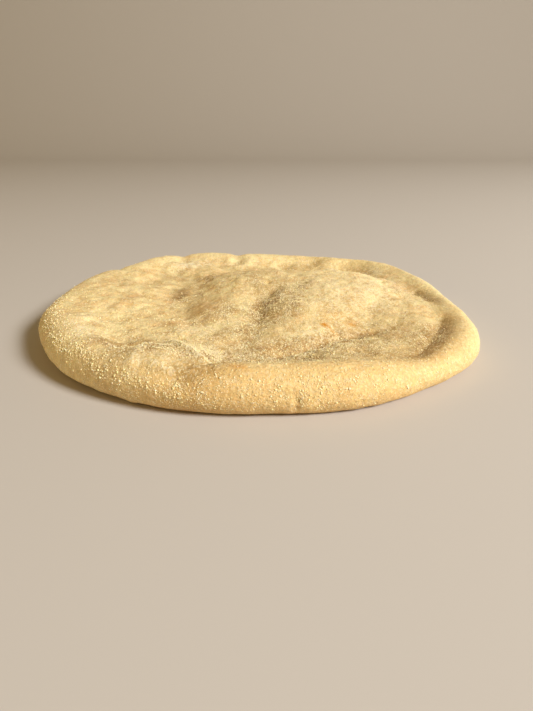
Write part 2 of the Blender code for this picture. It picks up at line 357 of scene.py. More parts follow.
    def top_at(self, x: Array, y: Array) -> Array:
        """Works out the height of the top straight above or below some points.

        Args:
            x: The points' places to the right, in millimetres.
            y: The points' places to the back.

        Returns:
            The height of the top at each point.
        """
        reach, angle = self.around(x, y)
        crest = self.radius(angle) - self.shoulder(angle)
        return self.top(x, y, angle, np.maximum(crest - reach, 0.0))

    def section(self, angle: Array) -> tuple[Array, ...]:
        """Measures the rim's outer section.

        Args:
            angle: The way round the base, in radians.

        Returns:
            How far out the crest is, the heights of the crest and of the widest line, the reach
            of the shoulder, and the lengths of shoulder and foot along the surface.
        """
        reach = self.shoulder(angle)
        rim = self.rim(angle)
        waist = self.waist_share * rim
        quarter = 0.5 * math.pi * math.sqrt(0.5)
        shoulder_length = quarter * np.hypot(reach, rim - waist)
        foot_length = quarter * np.hypot(self.foot_reach, waist)
        return self.radius(angle) - reach, rim, waist, reach, shoulder_length, foot_length

    def wrap(self, ring: Array, angle: Array) -> Array:
        """Places points of a divided fan on the dough.

        Args:
            ring: 0 at the middle of the top and 1 at the edge of the underside.
            angle: The way round the base, in radians.

        Returns:
            An array of x, y and z in millimetres.
        """
        crest, _, waist, shoulder_reach, shoulder_length, foot_length = self.section(angle)
        run = ring * (crest + shoulder_length + foot_length)
        shoulder = np.clip((run - crest) / shoulder_length, 0.0, 1.0) * 0.5 * math.pi
        foot = (run - crest - shoulder_length) / foot_length
        foot = np.clip(foot, 0.0, 1.0) * 0.5 * math.pi
        reach = np.minimum(run, crest) + shoulder_reach * np.sin(shoulder)
        x, y = self.outward(reach - self.foot_reach * (1.0 - np.cos(foot)), angle)
        top = self.top(x, y, angle, np.maximum(crest - run, 0.0))
        z = waist + (top - waist) * np.cos(shoulder) - waist * np.sin(foot)
        return np.stack([x, y, z], axis=1)

    def unwrap(self, x: Array, y: Array, z: Array) -> tuple[Array, Array]:
        """Finds where on the fan some places of the dough are: it undoes wrap, near enough.

        Args:
            x: The places to the right, in millimetres.
            y: The places to the back.
            z: Their heights.

        Returns:
            The ring and the angle of each place.
        """
        reach, angle = self.around(x, y)
        crest, rim, waist, shoulder_reach, shoulder_length, foot_length = self.section(angle)
        past = (reach - crest - shoulder_reach) / self.foot_reach + 1.0
        over = np.arctan2((reach - crest) / shoulder_reach, (z - waist) / (rim - waist))
        down = np.arctan2((waist - z) / waist, past)
        over, down = (np.clip(turn / (0.5 * math.pi), 0.0, 1.0) for turn in (over, down))
        foot = crest + shoulder_length + down * foot_length
        run = np.where(z >= waist, crest + over * shoulder_length, foot)
        ring = np.where(reach < crest, reach, run) / (crest + shoulder_length + foot_length)
        return ring, angle

    def under(self, ring: Array, angle: Array) -> Array:
        """Places points on the flat underside, with a ring of 1 just inside its edge."""
        x, y = self.outward(ring * (self.radius(angle) - self.foot_reach - self.under_gap), angle)
        return np.stack([x, y, np.zeros_like(x)], axis=1)


# ---------------------------------------------------------------- the skin of the dough


class Weave(Enum):
    """How a layer of relief runs: in soft lumps or in thin winding folds."""

    LUMPS = "lumps"
    FOLDS = "folds"


@dataclass(frozen=True)
class ReliefLayer:
    """Fine relief from noise: its spacing and height in millimetres.

    The middle and rim values say how much of the height shows inside the rim and on it. Folds
    come in patches: the cover and contrast say how much of the dough has them.
    """

    weave: Weave
    spacing: float
    height: float
    middle: float
    rim: float
    shift: float
    fold_width: float = 0.1
    patch_scale: float = 0.37
    patch_contrast: float = 2.2
    patch_cover: float = 0.45

    def at(self, places: Array, inside: Array) -> Array:
        """Height of the layer.

        Args:
            places: Array of x, y and z in millimetres.
            inside: 1 inside the rim and 0 on it, for each place.

        Returns:
            The height in millimetres, out of the surface, for each place.
        """
        start = Vector((self.shift, self.shift * 0.7, self.shift * 1.3))
        points = [Vector(place) / self.spacing + start for place in places]
        if self.weave is Weave.LUMPS:
            value = np.array([noise.fractal(point, 1.0, 2.0, 2) for point in points])
        else:
            line = np.array([noise.noise(point) for point in points])
            held = np.array([noise.noise(point * self.patch_scale + start) for point in points])
            held = smooth_step(held * self.patch_contrast + self.patch_cover)
            value = -np.exp(-((line / self.fold_width) ** 2)) * held
        return value * self.height * (self.rim + (self.middle - self.rim) * inside)


@dataclass(frozen=True)
class BakedSkin:
    """What the oven did to the skin: its fine relief and its named folds, dents and pits."""

    layers: tuple[ReliefLayer, ...] = (
        ReliefLayer(Weave.LUMPS, 16.0, 0.9, 1.0, 0.25, 3.1),
        ReliefLayer(Weave.LUMPS, 7.0, 0.55, 1.0, 0.3, 11.7),
        ReliefLayer(Weave.LUMPS, 4.2, 0.22, 1.0, 0.5, 23.5),
        ReliefLayer(Weave.FOLDS, 11.0, 0.1, 1.0, 0.0, 37.9),
    )
    folds: tuple[Crease, ...] = (
        Crease(((-40, -71), (-32, -79), (-23, -91), (-17, -100)), 2, 1.6),
        Crease(((-42, -101), (-33, -104), (-24, -106.5), (-17, -106)), 1.5, 1.2),
        Crease(((-42, -88), (-36, -92), (-30, -95)), 1.3, 0.6),
        Crease(((-44, -76), (-47, -88), (-49, -102)), 3.2, 1),
        Crease(((-64, -69), (-58, -66), (-51, -66)), 3, -2.8),
        Crease(((-64, -66), (-57, -60), (-49, -57)), 1.8, 0.8),
        Crease(((-64, -77), (-60, -80), (-54, -82)), 1.6, 1.1),
        Crease(((-62, -74), (-57, -75), (-51, -77)), 1.4, -0.8),
        Crease(((15, -55), (23, -58), (33, -56)), 1.5, -0.8),
        Crease(((14, -75), (25, -72), (35, -67), (45, -58), (56, -52), (70, -51)), 2, -1.3, 1.3),
        Crease(((16, -70), (27, -67), (37, -61), (47, -53), (58, -47)), 3, 0.8),
        Crease(((37, -45), (41, -50), (45, -57)), 1.3, -0.6),
    )
    dents: tuple[Lobe, ...] = (
        Lobe(55.5, -83, 2.6, 2.2, 0, -0.7, 2),
        Lobe(-34.6, 46.2, 2.4, 2, 0, 1.4, 1.2),
        Lobe(-30, 47, 2.2, 2.4, 0, -1.2),
        Lobe(9.1, 11.4, 1.6, 1.6, 0, -1.2),
    )
    pits: tuple[Spot, ...] = (
        Spot((-82.9, -42.6, 17.1), 1, -1.3),
        Spot((101.1, -76.3, 10.2), 0.9, -1.1),
        Spot((20.6, -115, 9), 1.7, -1.1),
        Spot((20.2, -115, 5.5), 1.6, -1.1),
    )

    def at(self, places: Array, inside: Array) -> Array:
        """Works out the height of the skin's relief.

        Args:
            places: Array of x, y and z in millimetres.
            inside: 1 inside the rim and 0 on it, for each place.

        Returns:
            The height in millimetres, out of the dough's surface, for each place.
        """
        x, y = places[:, 0], places[:, 1]
        height = sum(layer.at(places, inside) for layer in self.layers)
        height = height + sum(shape.at(x, y) for shape in (*self.folds, *self.dents))
        return height + sum(pit.at(places) for pit in self.pits)


@dataclass(frozen=True)
class Baking:
    """Where the dough took colour, and where shade and light are painted into it, for the finish
    to read from the mesh.
    """

    hollow_reach: tuple[float, ...] = (4.0, 9.0)
    hollow_slope: float = 0.22
    scorches: tuple[Spot, ...] = (
        Spot((37, -51, 17.4), 1.6, 1.6),
        Spot((39.3, -52.5, 16.6), 1.1, 0.9),
        Spot((41, -54.5, 15.2), 1.1, 0.8),
        Spot((42.6, -56.2, 14), 1.1, 0.7),
        Spot((52.4, -44.3, 15.5), 2.8, 0.6),
        Spot((62.2, 19.5, 24), 3.4, 0.45),
        Spot((-1.4, -107, 20.5), 2.2, 0.5),
        Spot((-4.8, -106.6, 20.7), 1.9, 0.45),
        Spot((-39.5, -37.3, 15.2), 5, 0.25),
    )
    # Dust, and painted shade: darker patches on slopes that face away from the light, in creases,
    # and behind the front rim's crest.
    dust_and_shade_places: tuple[Lobe | Crease, ...] = (
        Crease(((8, -77), (20, -80), (31, -88), (52, -93), (68, -89), (79, -83)), 2.2, 0.4),
        Crease(
            ((6, -77), (22, -72), (30, -70), (38, -65), (47, -59), (55, -54), (64, -52)), 2.4, 0.9
        ),
        Lobe(-42, 24, 34, 9, 78, 0.45),
        Lobe(-45, 14, 6, 4, 70, 0.6),
        Lobe(-34, 54, 16, 6, 10, 0.35),
        Lobe(-30, 46, 4, 4, 0, 0.7),
        Lobe(-36, -6, 10, 6, 65, 0.2),
        Lobe(-29, -17, 13, 8, 50, 0.1),
        Lobe(-47, 22, 10, 5, 80, 0.3),
        Crease(((-30, 44), (-24, 37), (-12, 31), (-2, 27), (8, 28), (18, 31), (32, 38)), 5, 0.2),
        Lobe(-26, -30, 12, 6, 65, 0.1),
        Lobe(-13, -30, 9, 4, 80, 0.6),
        Lobe(-23, -58, 12, 7, 60, 0.3),
        Lobe(-22, -18, 30, 14, 80, 0.15),
        Lobe(12, -8, 16, 6, 68, 0.7),
        Lobe(9, -24, 12, 8, 70, 0.65),
        Lobe(1, -50, 20, 7, 80, 0.35),
        Lobe(16, -50, 14, 6, -20, 0.2),
        Lobe(24, -22, 6, 4, 60, 0.6),
        Lobe(30, 0, 12, 5, 65, 0.5),
        Lobe(18, -30, 30, 18, 60, 0.2),
        Lobe(18, 70, 46, 6, 8, 0.4),
        Lobe(-12, 62, 24, 6, 15, 0.35),
        Lobe(50, 88, 14, 6, -15, 0.4),
        Lobe(72, 77, 9, 5, -25, 0.2),
        Lobe(90, 46, 20, 3, 108, 0.15),
        Lobe(102, 3, 12, 4, 102, 0.7),
        Lobe(105, -10, 10, 4.5, 98, 0.7),
        Lobe(74, -5, 13, 9, 60, 0.35),
        Lobe(50, -28, 16, 9, 60, 0.3),
        Lobe(35, -72, 7, 3, 30, 0.5),
        Lobe(1, 14, 14, 5, 88, 0.45),
        Lobe(93, -58, 23, 5, 62, 1),
        Lobe(80, -79, 12, 4, 50, 0.6),
        Lobe(22, -84, 24, 5, 5, 0.35),
        Lobe(58, -85, 22, 4, 0, 0.4),
        Lobe(-64, -92, 26, 11, -30, 0.1),
        Lobe(-18, -107, 14, 7, -10, 0.6),
        Lobe(72, -26, 14, 12, 0, 0.2),
        Lobe(68, -46, 14, 4, -12, 0.3),
        Lobe(84, -36, 10, 8, 20, 0.25),
        Lobe(34, -63, 14, 3.5, 33, 0.2),
        Lobe(56, -54, 16, 3.5, 8, 0.6),
        Lobe(60, -71, 42, 15, 8, 0.55, 2),
        Lobe(88, -56, 14, 12, 60, 0.5),
        Lobe(-6, -76, 20, 15, 10, 0.45),
        Lobe(-59, -68, 12, 6, 15, 1.1),
        Lobe(-57, -75, 9, 5, 15, 0.9),
        Lobe(-34, -84, 9, 6, 10, 0.3),
        Lobe(-42, -86, 8, 5, 60, 0.6),
        Lobe(-55, -91, 9, 4, 60, 0.5),
        Lobe(18, 2, 22, 3, 80, 0.45),
        Lobe(32, -2, 20, 3.5, 72, 0.4),
        Lobe(23, -32, 12, 4, 80, 0.4),
        Lobe(66, 36, 7, 3.5, 65, 0.3),
        Lobe(88, 10, 12, 3, 85, 0.5),
        Lobe(30, 84, 12, 6, 0, 0.35),
        Lobe(-10, -93, 22, 6, 0, 0.6),
        Lobe(-44, -82, 30, 14, -10, 0.3),
        Lobe(-58, -68, 12, 6, 20, 0.7),
        Lobe(-66, 60, 10, 22, 10, 0.15),
        Lobe(-6, -53, 8, 7, 10, 0.7),
        Lobe(-14, -20, 10, 6, 75, 0.4),
        Lobe(22, -36, 10, 7, 30, 0.45),
        Lobe(4, 6, 10, 5, 72, 0.5),
        Lobe(28, -67, 12, 4, 30, 0.3),
        Lobe(18, -72, 20, 7, 8, 0.7),
        Lobe(48, -52, 12, 6, 15, 0.4),
        Lobe(79, -77, 8, 5, 30, 0.3),
        Lobe(2, -28, 14, 5, 82, 0.5),
        Lobe(-12, -85, 7, 8, 20, 0.75),
    )
    # Toasting, and in places painted shade: tan laid on shaded slopes as well as on browned
    # crust.
    toast_and_shade_places: tuple[Lobe, ...] = (
        Lobe(-26, -112, 46, 14, -12, 0.65),
        Lobe(-95, -62, 38, 14, -55, 0.3),
        Lobe(22, -112, 30, 14, 5, 0.4),
        Lobe(-20, -110, 24, 10, -10, 0.4),
        Lobe(34, -108, 30, 12, 15, 0.25),
        Lobe(48, -40, 18, 8, 30, 0.4),
        Lobe(30, 0, 30, 22, 70, 0.3),
        Lobe(-20, -32, 14, 7, 70, 0.5),
        Lobe(-29, -16, 16, 11, 55, 0.5),
        Lobe(42, -44, 14, 8, 20, 0.4),
        Lobe(-116, 0, 10, 50, 0, 0.2),
        Lobe(94, -78, 60, 20, 52, 0.6),
        Lobe(56, -104, 34, 14, 18, 0.45),
    )
    # Flour, and in places painted light: paler patches laid over the lit top of the dome and over
    # a shaded place at the back left.
    flour_and_light_places: tuple[Lobe | Crease, ...] = (
        Lobe(-88, -42, 18, 6, 75, 0.5),
        Lobe(-80, -64, 12, 6, 110, 0.8),
        Crease(((-36, -74), (-32, -79), (-23, -91), (-17, -100)), 2.2, 0.6),
        Crease(((-42, -101), (-33, -104), (-24, -106.5), (-17, -106)), 1.6, 0.3),
        Crease(((-44, -76), (-47, -88), (-49, -102)), 3.4, 0.4),
        Crease(((-64, -77), (-60, -80), (-54, -82)), 1.8, 0.6),
        Lobe(-31, -52, 12, 6, 10, 0.7),
        Lobe(-12, -76, 14, 8, 20, 0.5),
        Lobe(0, 92, 60, 8, 0, 0.3),
        Lobe(-38, -98, 24, 9, -10, 0.35),
        Lobe(-48, 82, 13, 9, 20, 1),
        Lobe(-26, -88, 9, 5, -60, 0.5),
        Lobe(82, 62, 12, 6, 110, 0.8),
        Lobe(30, -59, 14, 5, 25, 0.6),
        Lobe(56, 0, 46, 38, 60, 0.5, 1.5),
    )

    def hollows(self, form: DoughForm, places: Array) -> Array:
        """Finds how sunken each place is beside its surroundings, for the finish to darken as
        painted shade.

        Args:
            form: The form of the dough.
            places: Array of x, y and z in millimetres.

        Returns:
            0 where a place is not sunken, up to 1 where it is deep.
        """
        x, y = places[:, 0], places[:, 1]
        here = form.top_at(x, y)
        total = np.zeros_like(here)
        for reach in self.hollow_reach:
            steps = [(reach, 0.0), (-reach, 0.0), (0.0, reach), (0.0, -reach)]
            around = sum(form.top_at(x + dx, y + dy) for dx, dy in steps) / len(steps)
            total += np.maximum(around - here, 0.0) / (self.hollow_slope * reach)
        return np.clip(total / len(self.hollow_reach), 0.0, 1.0)


def read_rows(source: bpy.types.bpy_prop_collection, name: str, kind: type) -> Array:
    """Reads three numbers for each item of a mesh.

    Args:
        source: The mesh's vertices, normals or triangles.
        name: The name of what is read.
        kind: The kind of number that it is stored as.

    Returns:
        An array with a row of three numbers for each item.
    """
    flat = np.zeros(len(source) * 3, kind)
    source.foreach_get(name, flat)
    return flat.reshape(-1, 3)


def write_places(data: Mesh, places: Array) -> None:
    """Moves a mesh's vertices to the given places."""
    data.vertices.foreach_set("co", places.astype(np.float32).ravel())
    data.update()


def write_mark(data: Mesh, name: str, values: Array) -> None:
    """Stores one number for each vertex of a mesh, for its material to read."""
    mark = data.attributes.new(name, "FLOAT", "POINT")
    mark.data.foreach_set("value", values.astype(np.float32))


def link(name: str, data: bpy.types.ID) -> Object:
    """Adds an object to the scene.

    Args:
        name: The object's name.
        data: Its mesh, light or camera.

    Returns:
        The new object.
    """
    thing = bpy.data.objects.new(name, data)
    bpy.context.scene.collection.objects.link(thing)
    return thing


@dataclass
class Dough:
    """The round of dough: one closed mesh that stands for the frame's solid."""

    form: DoughForm = DoughForm()
    skin: BakedSkin = BakedSkin()
    baking: Baking = Baking()
    top_divisions: int = 156
    under_share: int = 3
    inside_ring: float = 0.8
    inside_blend: float = 0.12
    edge_blend: float = 0.04
    under_ring: float = 0.93
    under_blend: float = 0.07
    under_spacing: float = 14.0
    under_relief: float = 0.25
    under_flatness: int = 8

    def build(self) -> Object:
        """Builds the dough in the frame's box, with its marks for the finish.

        Returns:
            The dough's object.
        """
        data, rings, angles, top_count = self._fans()
        places = np.concatenate(
            [
                self.form.wrap(rings[:top_count], angles[:top_count]),
                self.form.under(rings[top_count:], angles[top_count:]),
            ]
        )
        write_places(data, places)
        inside = smooth_step((self.inside_ring - rings) / self.inside_blend)
        inside[top_count:] = 0.0
        lifted = places + self._relief(data, places, inside, rings, top_count)
        lifted[:, 2] = np.maximum(lifted[:, 2], 0.0)
        self._mark(data, places, rings, inside, top_count)
        write_places(data, self._fit(places, lifted))
        data.shade_smooth()
        return link("dough", data)

    def _fans(self) -> tuple[Mesh, Array, Array, int]:
        """Makes two fans of even triangles, joined at their borders into one closed mesh.

        Returns:
            The mesh, each vertex's ring and angle, and how many belong to the top.
        """
        mesh = bmesh.new()
        counts = []
        for divisions in (self.top_divisions, self.top_divisions // self.under_share):
            before = set(mesh.edges)
            bmesh.ops.create_circle(
                mesh,
                cap_ends=True,
                cap_tris=True,
                radius=1.0,
                segments=6,
                matrix=Matrix.Rotation(math.radians(90.0), 4, "Z"),
            )
            bmesh.ops.subdivide_edges(
                mesh,
                edges=[edge for edge in mesh.edges if edge not in before],
                cuts=divisions - 1,
                use_grid_fill=True,
            )
            counts.append(len(mesh.verts))
        bmesh.ops.triangulate(mesh, faces=mesh.faces[:])
        flat = np.array([vertex.co[:2] for vertex in mesh.verts])
        bmesh.ops.bridge_loops(mesh, edges=[edge for edge in mesh.edges if edge.is_boundary])
        bmesh.ops.triangulate(mesh, faces=[face for face in mesh.faces if len(face.verts) > 3])
        data = bpy.data.meshes.new("dough")
        for vertex, place in zip(mesh.verts, self._rough(flat, counts[0])):
            vertex.co = place
        bmesh.ops.recalc_face_normals(mesh, faces=mesh.faces[:])
        mesh.to_mesh(data)
        mesh.free()
        rings, angles = self._ring_and_angle(flat)
        return data, rings, angles, counts[0]

    def _rough(self, flat: Array, top_count: int) -> list[tuple[float, float, float]]:
        """Domes the top's fan, so that the closed mesh has an inside and an outside.

        Args:
            flat: The flat places of both fans.
            top_count: How many of them are the top's.

        Returns:
            The domed places.
        """
        height = 1.0 - np.linalg.norm(flat, axis=1)
        height[top_count:] = -0.1 * height[top_count:]
        return [(x, y, z) for (x, y), z in zip(flat, height)]

    @staticmethod
    def _ring_and_angle(flat: Array) -> tuple[Array, Array]:
        """Turns flat places on the fan, which has six sides, into places on a round one.

        Args:
            flat: The flat places.

        Returns:
            The ring, from 0 to 1, and the angle round it, in radians.
        """
        angle = np.arctan2(flat[:, 1], flat[:, 0])
        sector = math.pi / 3.0
        within = np.mod(angle, sector) - 0.5 * sector
        ring = np.linalg.norm(flat, axis=1) * np.cos(within) / math.cos(0.5 * sector)
        side = 0.5 + 0.5 * np.tan(within) / math.tan(0.5 * sector)
        return ring, (np.floor(angle / sector) + side) * sector

    def _relief(
        self, data: Mesh, places: Array, inside: Array, rings: Array, top_count: int
    ) -> Array:
        """Works out how the skin's relief moves each vertex, along its own normal.

        Args:
            data: The mesh, with its vertices in their plain places.
            places: The plain places, in millimetres.
            inside: 1 inside the rim and 0 on it, for each vertex.
            rings: The ring of each vertex.
            top_count: How many vertices belong to the top.

        Returns:
            The way that each vertex moves, in millimetres.
        """
        normals = read_rows(data.vertex_normals, "vector", np.float32).astype(float)
        height = np.zeros(len(places))
        height[:top_count] = self.skin.at(places[:top_count], inside[:top_count])
        height[:top_count] *= smooth_step((1.0 - rings[:top_count]) / self.edge_blend)
        under = places[top_count:] / self.under_spacing
        bumps = np.array([noise.fractal(Vector(place), 1.0, 2.0, 3) for place in under])
        share = 1.0 - rings[top_count:] ** self.under_flatness
        height[top_count:] = -np.abs(bumps) * self.under_relief * share
        return normals * height[:, None]

    def _mark(
        self, data: Mesh, places: Array, rings: Array, inside: Array, top_count: int
    ) -> None:
        """Stores where the dough is hollow, painted as shade; where dust and painted shade lie;
        where toast and painted shade lie; where flour and painted light lie; where it is
        scorched; and underneath.

        Args:
            data: The mesh that gets the marks.
            places: The plain places of its vertices, in millimetres.
            rings: The ring of each vertex.
            inside: 1 inside the rim and 0 on it, for each vertex.
            top_count: How many vertices belong to the top.
        """
        x, y = places[:, 0], places[:, 1]
        under = np.ones(len(places))
        under[:top_count] = smooth_step((rings[:top_count] - self.under_ring) / self.under_blend)
        # Painted shade and light: the dusty and toasted places darken shaded slopes as well as
        # marking real dust and toast, and the floury ones lighten lit places as well as marking
        # real flour.
        dust_and_shade = sum(place.at(x, y) for place in self.baking.dust_and_shade_places)
        toast_and_shade = sum(place.at(x, y) for place in self.baking.toast_and_shade_places)
        flour_and_light = sum(place.at(x, y) for place in self.baking.flour_and_light_places)
        # Hollows are painted darker, as shade.
        marks = {
            "hollow": self.baking.hollows(self.form, places) * inside,
            "dust_and_shade": dust_and_shade * (1.0 - under),
            "toast_and_shade": toast_and_shade,
            "flour_and_light": np.clip(flour_and_light, 0.0, 1.0) * (1.0 - under),
            "scorch": sum(spot.at(places) for spot in self.baking.scorches),
            "inside": inside,
            "under": under,
        }
        for name, values in marks.items():
            write_mark(data, name, np.clip(values, 0.0, 1.0))

    @staticmethod
    def _fit(plain: Array, lifted: Array) -> Array:
        """Fits the dough into the frame's box, which its plain form fills.

        Args:
            plain: The plain places, in millimetres.
            lifted: The places with their relief, in millimetres.

        Returns:
            The places with their relief, in metres.
        """
        low, high = (np.array(corner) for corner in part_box(NODE))
        own_low, own_high = plain.min(axis=0), plain.max(axis=0)
        return low + (lifted - own_low) * (high - low) / (own_high - own_low)


# ---------------------------------------------------------------- semolina


@dataclass(frozen=True)
class Drift:
    """A band of semolina round the rim: its middle and reach, round the base and across.

    The ring runs from 0 at the middle of the top to 1 at the edge of the underside.
    """

    angle: float
    angle_reach: float
    ring: float
    ring_reach: float
    share: float

    def at(self, rings: Array, angles: Array) -> Array:
        """Works out how much of the band lies at some places.

        Args:
            rings: The ring of each place.
            angles: The angle of each place, in degrees.

        Returns:
            The band's share of grains at each place.
        """
        turn = (angles - self.angle + 180.0) % 360.0 - 180.0
        reach = (turn / self.angle_reach) ** 2 + ((rings - self.ring) / self.ring_reach) ** 2
        return self.share * np.exp(-reach)


@dataclass(frozen=True)
class GrainKind:
    """One kind of grain: how many there are, their half sizes in millimetres and their sides.

    They lie in drifts round the rim, in patches inside it, and thinly everywhere.
    """

    name: str
    count: int
    half_sizes: tuple[float, float, float]
    sides: int
    drifts: tuple[Drift, ...]
    patches: tuple[Lobe, ...]
    everywhere: float
    seed: int


RIM_DRIFTS = (
    Drift(-166, 11, 0.79, 0.04, 0.42),
    Drift(-143, 14, 0.82, 0.04, 0.6),
    Drift(-128, 7, 0.81, 0.025, 0.5),
    Drift(-118, 7, 0.858, 0.018, 0.9),
    Drift(-104, 10, 0.87, 0.025, 0.3),
    Drift(-80, 18, 0.87, 0.03, 0.25),
    Drift(-75, 25, 0.965, 0.02, 0.2),
    Drift(-66, 26, 0.835, 0.05, 0.2),
)

RIM_DUST = (
    Drift(-80, 32, 0.85, 0.05, 1.6),
    Drift(-95, 30, 0.93, 0.05, 0.8),
)

MIDDLE_PATCHES = (
    Lobe(-20, -50, 60, 42, 0, 0.16),
    Lobe(10, -20, 30, 26, 70, 0.2),
    Lobe(-45, -88, 28, 12, -10, 0.25),
    Lobe(-58, -67, 10, 5, 15, -0.4),
    Lobe(-29, -16, 17, 11, 55, -0.2),
    Lobe(55, -74, 46, 10, 5, 0.2),
)

DUST_PATCHES = (
    Lobe(0, -34, 48, 50, 0, 1.6),
    Lobe(-30, -80, 44, 18, -10, 1.6),
    Lobe(-58, -67, 10, 5, 15, -1.7),
    Lobe(-29, -16, 17, 11, 55, -1.5),
    Lobe(56, -70, 54, 18, 5, 1.35),
    Lobe(62, 0, 44, 50, 0, 1),
)


@dataclass
class Semolina:
    """The grains that dust the dough: one joined mesh for each kind."""

    kinds: tuple[GrainKind, ...] = (
        GrainKind(
            "semolina_coarse", 750, (0.48, 0.42, 0.37), 5, RIM_DRIFTS, MIDDLE_PATCHES, 0.004, 21
        ),
        GrainKind(
            "semolina_medium", 2400, (0.35, 0.30, 0.25), 5, RIM_DRIFTS, MIDDLE_PATCHES, 0.02, 22
        ),
        GrainKind(
            "semolina_fine", 17000, (0.26, 0.22, 0.18), 4, RIM_DRIFTS, DUST_PATCHES, 0.12, 23
        ),
        GrainKind(
            "semolina_dust", 24000, (0.20, 0.17, 0.14), 4, RIM_DUST, DUST_PATCHES, 0.25, 24
        ),
    )
    form: DoughForm = DoughForm()
    spread: tuple[float, float] = (0.75, 1.3)
    chip: tuple[float, float] = (0.78, 1.12)
    rise: float = 0.2
    inside_ring: float = 0.8
    inside_blend: float = 0.1
    clump_spacing: float = 5.0
    clump_mean: float = 0.8
    clump_swing: float = 1.2
    clump_limits: tuple[float, float] = (0.1, 1.8)
    lowest: float = 1.0
    steepest: float = -0.5

    def build(self, dough: Object) -> list[Object]:
        """Scatters every kind of grain over the dough's top.

        Args:
            dough: The finished dough, whose faces carry the grains.

        Returns:
            One object for each kind.
        """
        data = dough.data
        data.calc_loop_triangles()
        corners = read_rows(data.loop_triangles, "vertices", np.int32)
        places = read_rows(data.vertices, "co", np.float32).astype(float)
        return [self._kind(kind, places, corners) for kind in self.kinds]

    def _kind(self, kind: GrainKind, places: Array, corners: Array) -> Object:
        """Scatters one kind of grain.

        Args:
            kind: The kind of grain.
            places: The places of the dough's vertices, in metres.
            corners: The three vertices of each of its triangles.

        Returns:
            The object that holds all grains of the kind.
        """
        rng = np.random.default_rng(kind.seed)
        tri = places[corners]
        cross = np.cross(tri[:, 1] - tri[:, 0], tri[:, 2] - tri[:, 0])
        area = np.linalg.norm(cross, axis=1)
        weight = area * self._density(kind, tri.mean(axis=1) / MM, cross[:, 2] / area)
        chosen = rng.choice(len(tri), size=kind.count, p=weight / weight.sum())
        share = rng.dirichlet((1.0, 1.0, 1.0), size=kind.count)
        here = (tri[chosen] * share[:, :, None]).sum(axis=1)
        out = cross[chosen] / area[chosen, None]
        return self._joined(kind, here, out, rng)

    def _density(self, kind: GrainKind, places: Array, up: Array) -> Array:
        """Works out how densely one kind of grain lies on the surface.

        Args:
            kind: The kind of grain.
            places: Places on the surface, in millimetres.
            up: How much the surface faces up at each place, from -1 to 1.

        Returns:
            The relative number of grains at each place.
        """
        x, y, z = places.T
        rings, angles = self.form.unwrap(x, y, z)
        total = np.full(len(places), kind.everywhere)
        for drift in kind.drifts:
            total += drift.at(rings, np.degrees(angles))
        inside = smooth_step((self.inside_ring - rings) / self.inside_blend)
        for patch in kind.patches:
            total += patch.at(x, y) * inside
        clumps = np.array([noise.noise(Vector(place) / self.clump_spacing) for place in places])
        total *= np.clip(self.clump_mean + self.clump_swing * clumps, *self.clump_limits)
        total[(z < self.lowest) | (up < self.steepest)] = 0.0
        return np.maximum(total, 0.0)

    def _joined(
        self, kind: GrainKind, here: Array, out: Array, rng: np.random.Generator
    ) -> Object:
        """Joins one chipped grain for each place into a single mesh.

        Args:
            kind: The kind of grain.
            here: Where each grain lies, in metres.
            out: The surface's direction out at each grain.
            rng: The source of the random draws.

        Returns:
            The object that holds the grains.
        """
        shape = bmesh.new()
        bmesh.ops.create_uvsphere(
            shape, u_segments=kind.sides, v_segments=(kind.sides + 1) // 2, radius=1.0
        )
        bmesh.ops.triangulate(shape, faces=shape.faces[:])
        body = np.array([vertex.co[:] for vertex in shape.verts])
        faces = np.array([[vertex.index for vertex in face.verts] for face in shape.faces])
        shape.free()
        count = len(here)
        size = rng.uniform(*self.spread, size=(count, 1, 1))
        chip = rng.uniform(*self.chip, size=(count, len(body), 1))
        grains = body[None] * chip * size * np.array(kind.half_sizes) * MM
        grains = self._turn(grains, out, rng.uniform(0.0, 2.0 * math.pi, count))
        lift = size[:, 0] * kind.half_sizes[2] * self.rise * MM
        grains += (here + out * lift)[:, None, :]
        index = faces[None] + (np.arange(count) * len(body))[:, None, None]
        data = bpy.data.meshes.new(kind.name)
        data.from_pydata(grains.reshape(-1, 3).tolist(), [], index.reshape(-1, 3).tolist())
        write_mark(data, "tone", np.repeat(rng.uniform(0.0, 1.0, count), len(body)))
        return link(kind.name, data)

    @staticmethod
    def _turn(grains: Array, out: Array, spin: Array) -> Array:
        """Spins each grain and lays it flat on the surface.

        Args:
            grains: The corners of each grain about its own middle.
            out: The surface's direction out at each grain.
            spin: The turn of each grain about that direction, in radians.

        Returns:
            The turned corners of each grain.
        """
        side = np.cross(out, np.array([0.31, 0.95, 0.05]))
        side /= np.linalg.norm(side, axis=1, keepdims=True)
        other = np.cross(out, side)
        first = side * np.cos(spin)[:, None] + other * np.sin(spin)[:, None]
        second = np.cross(out, first)
        axes = np.stack([first, second, out], axis=1)
        return np.einsum("nki,nij->nkj", grains, axes)


# ---------------------------------------------------------------- finishes


